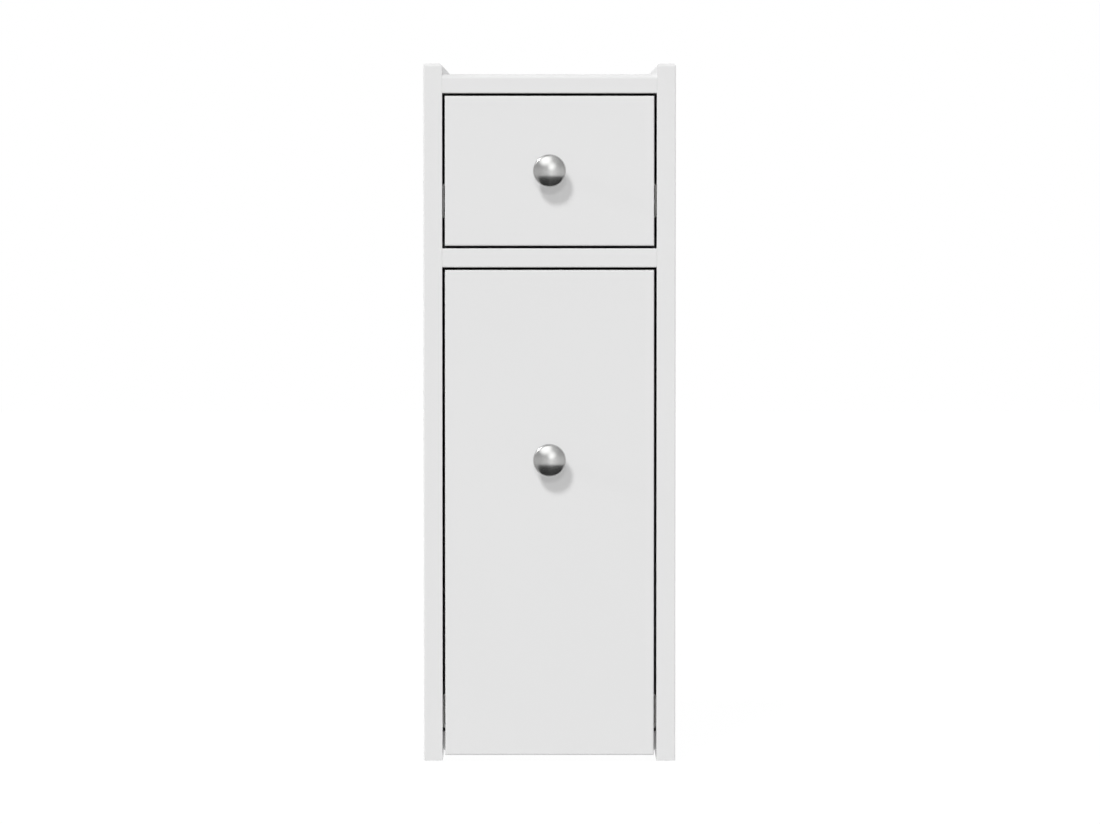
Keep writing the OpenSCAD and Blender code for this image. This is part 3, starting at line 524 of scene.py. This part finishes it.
screw_set(back_screw, "back_panel_screws", "back_screws", "cabinet", to_the_back)
screw_set(runner_screw, "runner_screws", "cabinet_member_screws", "cabinet", towards_middle)
screw_set(slide_screw, "drawer_slide_screws", "drawer_member_screws", "drawer", away_from_middle)
screw_set(slide_screw, "rack_slide_screws", "rack_member_screws", "rack", away_from_middle)
screw_set(box_screw, "drawer_box_screws", "drawer_back_screws", "drawer", away_from_middle)
screw_set(box_screw, "rack_box_screws", "rack_back_screws", "rack", to_the_back)
for model in (back_screw, runner_screw, slide_screw, box_screw):
    bpy.data.objects.remove(model)

# ---- Floor glides ----
# Moulded polythene discs with a steel nail, driven into the lower edges of the side panels. The
# nail's place shows as a shallow dish inside a raised ring.
GLIDE_R = 6.5 * MM
GLIDE_H = 1.5 * MM
GLIDE_ROUND = 0.5 * MM
GLIDE_VERTICES = 40
DISH_DEPTH = 0.5 * MM
DISH_SLOPE = [(2.2 * MM, DISH_DEPTH), (2.6 * MM, 0.15 * MM), (3 * MM, 0)]
NAIL_R = 1 * MM
NAIL_END = 14.75 * MM
NAIL_POINT = 2 * MM


def arc(centre, radius, start, end, steps):
    """Outline points on an arc between two angles in degrees, measured from the radius's way."""
    angles = [math.radians(start + (end - start) * i / steps) for i in range(steps + 1)]
    return [(centre[0] + radius * math.cos(a), centre[1] + radius * math.sin(a)) for a in angles]


glide_outline = [(0, DISH_DEPTH)] + DISH_SLOPE
glide_outline += arc((GLIDE_R - GLIDE_ROUND, GLIDE_ROUND), GLIDE_ROUND, -90, 0, 5)
glide_outline += [(GLIDE_R, GLIDE_H), (NAIL_R, GLIDE_H), (NAIL_R, NAIL_END - NAIL_POINT),
                  (0, NAIL_END)]

# Moulded polythene: slightly waxy, a greyish white with faint flow marks.
POLYTHENE_DARK, POLYTHENE_PALE = "#D2D2CC", "#DEDED8"
POLYTHENE_FLOW = 3 * MM

polythene, tree, surface = new_material("moulded_polythene")
place = node(tree, "TexCoord").outputs["Object"]
flow = node(tree, "TexNoise", {"Vector": place, "Scale": 1 / POLYTHENE_FLOW, "Detail": 2.0})
tint = node(tree, "Mix", {"Factor": flow.outputs["Fac"], "A": linear(POLYTHENE_DARK),
                          "B": linear(POLYTHENE_PALE)}, data_type="RGBA")
relief = node(tree, "Bump", {"Height": flow.outputs["Fac"], "Strength": 0.1,
                             "Distance": 0.05 * MM})
plastic = node(tree, "BsdfPrincipled", {"Base Color": tint.outputs["Result"], "Roughness": 0.48,
                                        "IOR": 1.51, "Normal": relief.outputs["Normal"]})
tree.links.new(plastic.outputs["BSDF"], surface)

glide = turned("glide", glide_outline, GLIDE_VERTICES)
smooth(glide)
glide.data.materials.append(polythene)
spots = []
for low, high in solids("floor_glides"):
    underneath = Vector(((low.x + high.x) / 2, (low.y + high.y) / 2, low.z))
    spots.append((underneath, Vector((0, 0, -1)), 0))
glides = joined(copies(glide, spots), "nailed_glides")
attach(glides, "cabinet")
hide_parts("floor_glides")
bpy.data.objects.remove(glide)

# ---- Runners ----
# Sheet steel, 1.2 mm, roll-formed into cabinet members and drawer members, powder coated in white
# epoxy, and screwed to the boards. Each front roller turns on a rivet in a cabinet member, and each
# rear roller on a rivet in a drawer member.

# Epoxy powder coat: glossier than the lacquer, with a clear orange peel that is drawn at its real
# size, and a film that looks slightly creamier where it is thick.
POWDER_CREAM, POWDER_WHITE = "#E4E4DF", "#EBEBE8"
POWDER_PEEL = 1.6 * MM
POWDER_DRIFT = 40 * MM

powder, tree, surface = new_material("white_epoxy_powder_coat_on_steel")
place = node(tree, "TexCoord").outputs["Object"]
peel = node(tree, "TexNoise", {"Vector": place, "Scale": 1 / POWDER_PEEL, "Detail": 1.5})
thick = node(tree, "TexNoise", {"Vector": place, "Scale": 1 / POWDER_DRIFT, "Detail": 2.0})
film = node(tree, "Mix", {"Factor": thick.outputs["Fac"], "A": linear(POWDER_CREAM),
                          "B": linear(POWDER_WHITE)}, data_type="RGBA")
relief = node(tree, "Bump", {"Height": peel.outputs["Fac"], "Strength": 0.35,
                             "Distance": 0.06 * MM})
epoxy = node(tree, "BsdfPrincipled", {"Base Color": film.outputs["Result"], "Roughness": 0.26,
                                      "IOR": 1.55, "Normal": relief.outputs["Normal"]})
tree.links.new(epoxy.outputs["BSDF"], surface)

coat(powder, "drawer_runner_left", "drawer_runner_right", "rack_runner_left", "rack_runner_right",
     "drawer_slide_left", "drawer_slide_right", "rack_slide_left", "rack_slide_right")
coat(zinc, "runner_axles", "drawer_slide_axles", "rack_slide_axles")

# ---- Rollers ----
# Natural white nylon, injection moulded, with a bored hub, a web between two ring grooves, six ribs
# on each side, and a slightly crowned tread. A rear roller has a pocket for its rivet's head.
ROLLER_R = 11 * MM
ROLLER_W = 6 * MM
ROLLER_BORE_R = 3.1 * MM
BORE_EASE = 0.2 * MM
HUB_R = 5.4 * MM
RIM_R = 8.6 * MM
GROOVE_LIP = 0.1 * MM                       # the eased edges of a groove's mouth
GROOVE_FILLET = 0.25 * MM                   # and of its foot
WEB_DEPTH = 1.2 * MM
TREAD_ROUND = 0.5 * MM
TREAD_CROWN = 0.03 * MM
RIB_HEIGHT = 0.8 * MM
RIBS = 6
POCKET_R = 4.7 * MM
POCKET_DEPTH = 1.1 * MM
ROLLER_VERTICES = 72


def roller_side(pocket):
    """Half of a roller's outline, from the bore to the tread's edge, with the face at z = 0."""
    hub = [(ROLLER_BORE_R, BORE_EASE), (ROLLER_BORE_R + BORE_EASE, 0)]
    if pocket:
        hub = [(ROLLER_BORE_R, POCKET_DEPTH), (POCKET_R, POCKET_DEPTH), (POCKET_R, 0)]
    groove = [(HUB_R - GROOVE_LIP, 0), (HUB_R, GROOVE_LIP), (HUB_R, WEB_DEPTH - GROOVE_FILLET),
              (HUB_R + GROOVE_FILLET, WEB_DEPTH), (RIM_R - GROOVE_FILLET, WEB_DEPTH),
              (RIM_R, WEB_DEPTH - GROOVE_FILLET), (RIM_R, GROOVE_LIP), (RIM_R + GROOVE_LIP, 0)]
    edge_at = (ROLLER_R - TREAD_ROUND - TREAD_CROWN, TREAD_ROUND)
    return hub + groove + arc(edge_at, TREAD_ROUND, -90, 0, 4)


# Moulded nylon: milky, with a soft sheen, fine moulding grain and a warmer tone in thick places.
NYLON_WARM, NYLON_PALE = "#E9E7DC", "#F2F1EA"
NYLON_CLOUD = 5 * MM
NYLON_GRAIN = 0.7 * MM

nylon, tree, surface = new_material("natural_moulded_nylon")
place = node(tree, "Attribute", attribute_name="own", attribute_type="GEOMETRY").outputs["Vector"]
milk = node(tree, "TexNoise", {"Vector": place, "Scale": 1 / NYLON_CLOUD, "Detail": 2.0})
tint = node(tree, "Mix", {"Factor": milk.outputs["Fac"], "A": linear(NYLON_WARM),
                          "B": linear(NYLON_PALE)}, data_type="RGBA")
grain = node(tree, "TexNoise", {"Vector": place, "Scale": 1 / NYLON_GRAIN, "Detail": 2.0})
relief = node(tree, "Bump", {"Height": grain.outputs["Fac"], "Strength": 0.12,
                             "Distance": 0.03 * MM})
plastic = node(tree, "BsdfPrincipled", {"Base Color": tint.outputs["Result"], "Roughness": 0.42,
                                        "IOR": 1.53, "Normal": relief.outputs["Normal"]})
tree.links.new(plastic.outputs["BSDF"], surface)


def roller_model(name, pocket):
    """A roller along +Z whose pocketed face, if any, is at z = 0."""
    far = [(radius, ROLLER_W - height) for radius, height in reversed(roller_side(False))]
    tread = [(ROLLER_R, ROLLER_W / 2)]
    roller = turned(name, roller_side(pocket) + tread + far, ROLLER_VERTICES, closed=True)
    face_angle, rib_angle = 2 * math.pi / ROLLER_VERTICES, 2 * math.pi / RIBS
    for web_z, out in ((WEB_DEPTH, -1), (ROLLER_W - WEB_DEPTH, 1)):
        edit_faces(roller, lambda at: (
            abs(at.z - web_z) < NEAR and HUB_R < math.hypot(at.x, at.y) < RIM_R
            and math.atan2(at.y, at.x) % rib_angle < face_angle))
        bpy.ops.mesh.extrude_region_move(
            TRANSFORM_OT_translate={"value": (0, 0, out * RIB_HEIGHT)})
        bpy.ops.object.mode_set(mode="OBJECT")
    smooth(roller)
    roller.data.materials.append(nylon)
    return roller


plain_roller = roller_model("plain_roller", False)
pocket_roller = roller_model("pocket_roller", True)
for box in ("drawer", "rack"):
    for end, model in (("front", plain_roller), ("rear", pocket_roller)):
        for side in ("left", "right"):
            cad_name = f"{box}_{end}_roller_{side}"
            low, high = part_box(cad_name)
            centre = (low + high) / 2
            outward = away_from_middle(centre)
            spot = (centre + outward * ROLLER_W / 2, outward, 0)
            roller = joined(copies(model, [spot]), f"nylon_roller_{box}_{end}_{side}")
            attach(roller, cad_name)
            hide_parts(cad_name)
for model in (plain_roller, pocket_roller):
    bpy.data.objects.remove(model)

# ---- Drawer ----
# Fibreboard, 12 mm for the box and 15 mm for the front, lacquered like the carcass. The hardboard
# bottom slides in grooves with its film upwards, and the front is drawn on by cams and dowels.
coat(lacquer, "drawer_front", "drawer_side_left", "drawer_side_right", "drawer_back")
filmed_sheet("drawer_bottom", "drawer_bottom_sheet", "drawer", Vector((0, 0, 1)))
cam_locks("drawer_cam_locks", "drawer_locks_with_cross", "drawer")
coat(zinc, "drawer_cam_bolts")
coat(beech, "drawer_dowels")

# ---- Pull-out rack ----
# The same boards: a tall front with a floor board, low sides, a shelf and two rails behind it, and
# a back that is screwed to all of them. Spare rolls stand on the floor and on the shelf.
coat(lacquer, "rack_front", "rack_base", "rack_side_left", "rack_side_right", "rack_back",
     "rack_shelf", "shelf_rail_left", "shelf_rail_right")
cam_locks("rack_cam_locks", "rack_locks_with_cross", "rack")
coat(zinc, "rack_cam_bolts")
coat(beech, "rack_dowels")

# ---- Knobs and their screws ----
# Mushroom knobs, die-cast and spun on a lathe to fine rings, then nickel plated: a cove sweeps from
# the foot past the neck to a rounded rim and a shallow dome. A pan-head screw holds each one from
# behind.
KNOB_OUT = 23 * MM
KNOB_R = 13 * MM
DOME_R = 28 * MM
RIM_ROUND = 2.9 * MM
COVE_R = 8 * MM
NECK_R = 5 * MM
FOOT_R = 7 * MM
FOOT_EASE = 0.2 * MM
KNOB_BORE_R = 2.05 * MM
KNOB_BORE_DEPTH = 10 * MM
KNOB_BORE_CONE = 1 * MM
KNOB_VERTICES = 128
KNOB_SHARP = math.radians(30)
CURVE_STEPS, DOME_STEPS = 28, 22

rim_x = KNOB_R - RIM_ROUND
rim_z = KNOB_OUT - DOME_R + math.sqrt((DOME_R - RIM_ROUND) ** 2 - rim_x ** 2)
cove_x = NECK_R + COVE_R
cove_z = rim_z - math.sqrt((COVE_R + RIM_ROUND) ** 2 - (cove_x - rim_x) ** 2)
foot_angle = 180 + math.degrees(math.acos((cove_x - FOOT_R) / COVE_R))
under_angle = math.degrees(math.atan2(rim_z - cove_z, rim_x - cove_x))
dome_angle = math.degrees(math.atan2(rim_z - KNOB_OUT + DOME_R, rim_x))
knob_outline = [(0, KNOB_BORE_DEPTH), (KNOB_BORE_R, KNOB_BORE_DEPTH - KNOB_BORE_CONE),
                (KNOB_BORE_R, 0), (FOOT_R - FOOT_EASE, 0), (FOOT_R, FOOT_EASE)]
knob_outline += arc((cove_x, cove_z), COVE_R, foot_angle, under_angle, CURVE_STEPS)
knob_outline += arc((rim_x, rim_z), RIM_ROUND, under_angle - 180, dome_angle, CURVE_STEPS)[1:]
knob_outline += arc((0, KNOB_OUT - DOME_R), DOME_R, dome_angle, 90, DOME_STEPS)[1:]

# Spun nickel plate: a neutral grey mirror that the lathe's rings break up, so that highlights
# spread in and out from the middle. The rings are about 0.1 mm apart and are drawn at 0.6 mm.
NICKEL_DARK, NICKEL_PALE = "#BFBFBE", "#C9C9C8"
NICKEL_HAZE = 3 * MM
RING_PITCH = 0.6 * MM

nickel, tree, surface = new_material("spun_nickel_plate")
place = node(tree, "Attribute", attribute_name="own", attribute_type="GEOMETRY").outputs["Vector"]
rings = node(tree, "TexWave", {"Vector": place, "Scale": WAVE / RING_PITCH,
                               "Distortion": 1.2, "Detail": 3.0, "Detail Scale": 2.0},
             wave_type="RINGS", rings_direction="Z")
haze = node(tree, "TexNoise", {"Vector": place, "Scale": 1 / NICKEL_HAZE, "Detail": 2.0})
plate = node(tree, "Mix", {"Factor": haze.outputs["Fac"], "A": linear(NICKEL_DARK),
                           "B": linear(NICKEL_PALE)}, data_type="RGBA")
spun = node(tree, "MapRange", {"Value": rings.outputs["Fac"], "To Min": 0.17, "To Max": 0.22})
relief = node(tree, "Bump", {"Height": rings.outputs["Fac"], "Strength": 0.035,
                             "Distance": 0.02 * MM})
round_the_knob = node(tree, "Tangent", direction_type="RADIAL", axis="Y")
metal = node(tree, "BsdfPrincipled", {"Base Color": plate.outputs["Result"], "Metallic": 1.0,
                                      "Roughness": spun.outputs["Result"], "Anisotropic": 0.35,
                                      "Anisotropic Rotation": 0.25,
                                      "Tangent": round_the_knob.outputs["Tangent"],
                                      "Normal": relief.outputs["Normal"]})
tree.links.new(metal.outputs["BSDF"], surface)

# The pan-head screw: its head bears on the front's inner face, 15 mm behind the knob.
FRONT_T = 15 * MM
PAN_R = 4 * MM
PAN_H = 2.6 * MM
PAN_ROUND = 1.4 * MM
PAN_CROSS, PAN_CROSS_DEPTH = 4.2 * MM, 2 * MM
PAN_TURN = 0.4                              # of the cross, in radians
PAN_VERTICES = 32
THREAD_R = 2 * MM
THREAD_CREST, THREAD_CORE = 0.99, 0.82      # as shares of the thread's nominal radius
THREAD_PITCH = 0.7 * MM
THREAD_PLAIN = 0.6 * MM                     # without thread, at either end
SCREW_L = FRONT_T + 8 * MM
pan_outline = [(0, -PAN_H)]
pan_outline += arc((PAN_R - PAN_ROUND, PAN_ROUND - PAN_H), PAN_ROUND, 270, 360, 8)
pan_outline += [(PAN_R, 0), (THREAD_R, 0), (0.85 * THREAD_R, 0.4 * MM)]
pan_outline += thread(THREAD_CREST * THREAD_R, THREAD_CORE * THREAD_R, THREAD_PLAIN,
                      SCREW_L - THREAD_PLAIN, THREAD_PITCH)
pan_outline += [(0.7 * THREAD_R, SCREW_L), (0, SCREW_L)]

knob_model = turned("knob", knob_outline, KNOB_VERTICES)
smooth(knob_model, KNOB_SHARP)
knob_model.data.materials.append(nickel)
pan_model = turned("pan_screw", pan_outline, PAN_VERTICES)
pan_cross = cross_cutter(PAN_CROSS, PAN_CROSS_DEPTH)
pan_cross.location.z = -PAN_H
cut_away(pan_model, pan_cross)
smooth(pan_model, SCREW_SHARP)
pan_model.data.materials.append(zinc)

backwards = Vector((0, 1, 0))
for body in ("drawer", "rack"):
    low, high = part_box(f"{body}_knob")
    foot = Vector((0, high.y, (low.z + high.z) / 2))
    knob = joined(copies(knob_model, [(foot, backwards, 0)]), f"{body}_spun_knob")
    knob.visible_diffuse = False            # it blocks the lights, but not the even room
    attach(knob, body)
    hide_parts(f"{body}_knob")
    inside = foot + FRONT_T * backwards
    screw = joined(copies(pan_model, [(inside, backwards, PAN_TURN)]), f"{body}_pan_screw")
    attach(screw, body)
    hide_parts(f"{body}_knob_screw")
for model in (knob_model, pan_model):
    bpy.data.objects.remove(model)

# ---- Studio ----
# A pale seamless floor in an even white room, a soft key light from the upper left, a weaker fill
# above the camera, a light that grazes the fronts from the left, and a broad glow off the floor on
# the right. The camera stands 4 m away, a little below the top of the cabinet.
FRONT_Y = -228.5 * MM
CAMERA_PLACE = (0.4 * MM, FRONT_Y - 4, 458 * MM)
CAMERA_PITCH = 2.56                         # degrees below the horizon
CAMERA_LENS = 165.25
KEY_WAY = (39.2, 112.0)                     # degrees off the fronts' normal, and round it from +X
FILL_WAY = (17.2, 92.0)
FILL_GLINT_WAY = (17.2, 64.7)
EDGE_WAY = (88.0, 160.0)
EDGE_GLINT_WAY = (88.0, 134.0)
BOUNCE_WAY = (105.0, -35.0)                 # from below, and a little behind the fronts
ROOM_LEVEL = 0.515
FLOOR_SIZE, FLOOR_CELLS = 12, 8
FLOOR_WHITE = "#E7E7E7"
FLOOR_GLOW = 1.06
FLOOR_GLOW_SHARE = 0.9                      # the camera sees the floor nearly as white as the room


def way(off_normal, turn):
    """Direction from the cabinet to a light."""
    a, b = math.radians(off_normal), math.radians(turn)
    return Vector((math.sin(a) * math.cos(b), -math.cos(a), math.sin(a) * math.sin(b)))


def soft_light(name, towards, strength, spread, lights=True, glints=True):
    """A far, round softbox: spread is its width in degrees as the cabinet sees it. It may be one
    that only lights the surfaces, or one that only shows as a glint in them."""
    light = bpy.data.lights.new(name, "SUN")
    light.energy = strength
    light.angle = math.radians(spread)
    lamp = bpy.data.objects.new(name, light)
    lamp.rotation_mode = "QUATERNION"
    lamp.rotation_quaternion = way(*towards).to_track_quat("Z", "Y")
    lamp.visible_diffuse = lights
    lamp.visible_glossy = glints
    bpy.context.scene.collection.objects.link(lamp)


soft_light("key", KEY_WAY, strength=1.274, spread=10, glints=False)
soft_light("fill", FILL_WAY, strength=0.33, spread=6, glints=False)
soft_light("edge", EDGE_WAY, strength=1.0, spread=12, glints=False)
soft_light("edge_glint", EDGE_GLINT_WAY, strength=1.0, spread=12, lights=False)
soft_light("bounce", BOUNCE_WAY, strength=0.75, spread=40, glints=False)

# The floor looks white from above and lets the view through from below.
bpy.ops.object.select_all(action="DESELECT")
bpy.ops.mesh.primitive_grid_add(x_subdivisions=FLOOR_CELLS, y_subdivisions=FLOOR_CELLS,
                                size=FLOOR_SIZE, location=(0, 0, 0))
floor = bpy.context.object
floor.name = "studio_floor"
floor.visible_glossy = False
floor.visible_diffuse = False               # the room and the bounce light come up through it
floor.visible_shadow = False
floor_white, tree, surface = new_material("pale_studio_floor")
seen = node(tree, "LightPath").outputs["Is Camera Ray"]
matt = node(tree, "BsdfDiffuse", {"Color": linear(FLOOR_WHITE)})
glow = node(tree, "Emission", {"Color": linear("#FFFFFF"), "Strength": FLOOR_GLOW})
lit = node(tree, "MixShader", {0: FLOOR_GLOW_SHARE, 1: matt.outputs["BSDF"],
                               2: glow.outputs["Emission"]})
seen_floor = node(tree, "MixShader", {0: seen, 1: matt.outputs["BSDF"], 2: lit.outputs["Shader"]})
from_below = node(tree, "NewGeometry").outputs["Backfacing"]
one_way = node(tree, "MixShader", {0: from_below, 1: seen_floor.outputs["Shader"],
                                   2: node(tree, "BsdfTransparent").outputs["BSDF"]})
tree.links.new(one_way.outputs["Shader"], surface)
floor.data.materials.append(floor_white)
floor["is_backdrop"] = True

# Polished metal sees a room with more shape. Each stop is a place between the two ends of an axis,
# from 0 to 1, and the level there. By height, the floor is dark up to 16 degrees below the horizon.
# Across, the room is brightest just right of the camera, and pale walls stand at the far left and
# right.
HEIGHT_STOPS = ((0.0, 0.15), (0.1, 0.05), (0.25, 0.07), (0.345, 0.12), (0.37, 1.0), (0.5, 1.0),
                (0.7, 0.68), (1.0, 0.65))
ACROSS_STOPS = ((0.0, 0.66), (0.25, 0.66), (0.34, 0.8), (0.42, 0.82), (0.55, 1.3), (0.64, 1.05),
                (0.8, 0.74), (1.0, 0.66))
WALL_STOPS = ((0.0, 0.5), (0.17, 0.5), (0.26, 0.0), (0.84, 0.0), (0.93, 0.4), (1.0, 0.4))
# Each softbox shows in the metal as a bright middle that fades out: the way to it, its level, and
# how many degrees from its middle the fading starts and ends.
SOFTBOXES = ((KEY_WAY, 1.45, 5, 24), (FILL_GLINT_WAY, 0.92, 3, 16), (EDGE_GLINT_WAY, 1.0, 10, 30))

world = bpy.data.worlds.new("studio_room")
bpy.context.scene.world = world
world.use_nodes = True
tree = world.node_tree
tree.nodes.clear()
rays = node(tree, "LightPath").outputs
direction = node(tree, "TexCoord").outputs["Generated"]
look = node(tree, "SeparateXYZ", {"Vector": direction})
profiles = []
for axis, stops in (("Z", HEIGHT_STOPS), ("X", ACROSS_STOPS), ("X", WALL_STOPS)):
    along = node(tree, "MapRange", {"Value": look.outputs[axis], "From Min": -1.0,
                                    "From Max": 1.0})
    profile = node(tree, "ValToRGB", {"Fac": along.outputs["Result"]})
    profile.color_ramp.interpolation = "EASE"
    for place, level in stops[1:-1]:
        profile.color_ramp.elements.new(place)
    for element, (place, level) in zip(profile.color_ramp.elements, stops):
        element.color = (level, level, level, 1)
    profiles.append(profile.outputs["Color"])
height, across, walls = profiles
lit_room = node(tree, "Math", {0: height, 1: across}, operation="MULTIPLY")
shown = node(tree, "Math", {0: lit_room.outputs["Value"], 1: walls}, operation="MAXIMUM")
for towards, level, starts, ends in SOFTBOXES:
    facing = node(tree, "VectorMath", {0: direction, 1: way(*towards)}, operation="DOT_PRODUCT")
    softbox = node(tree, "MapRange", {
        "Value": facing.outputs["Value"], "From Min": math.cos(math.radians(ends)),
        "From Max": math.cos(math.radians(starts)), "To Max": level},
        interpolation_type="SMOOTHSTEP")
    shown = node(tree, "Math", {0: shown.outputs["Value"], 1: softbox.outputs["Result"]},
                 operation="ADD")
glossy = node(tree, "Mix", {"Factor": rays["Is Glossy Ray"], "A": ROOM_LEVEL,
                            "B": shown.outputs["Value"]}, data_type="FLOAT")
strength = node(tree, "Mix", {"Factor": rays["Is Camera Ray"], "A": glossy.outputs["Result"],
                              "B": 1.0}, data_type="FLOAT")
room = node(tree, "Background", {"Color": linear("#FFFFFF"),
                                 "Strength": strength.outputs["Result"]})
tree.links.new(room.outputs["Background"], node(tree, "OutputWorld").inputs["Surface"])
bpy.context.scene.view_settings.view_transform = "Standard"

camera = bpy.data.objects.new("camera", bpy.data.cameras.new("camera"))
camera.location = CAMERA_PLACE
camera.rotation_euler = (math.radians(90 - CAMERA_PITCH), 0, 0)
camera.data.lens = CAMERA_LENS
camera.data.clip_end = 50
bpy.context.scene.collection.objects.link(camera)
bpy.context.scene.camera = camera

low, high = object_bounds()
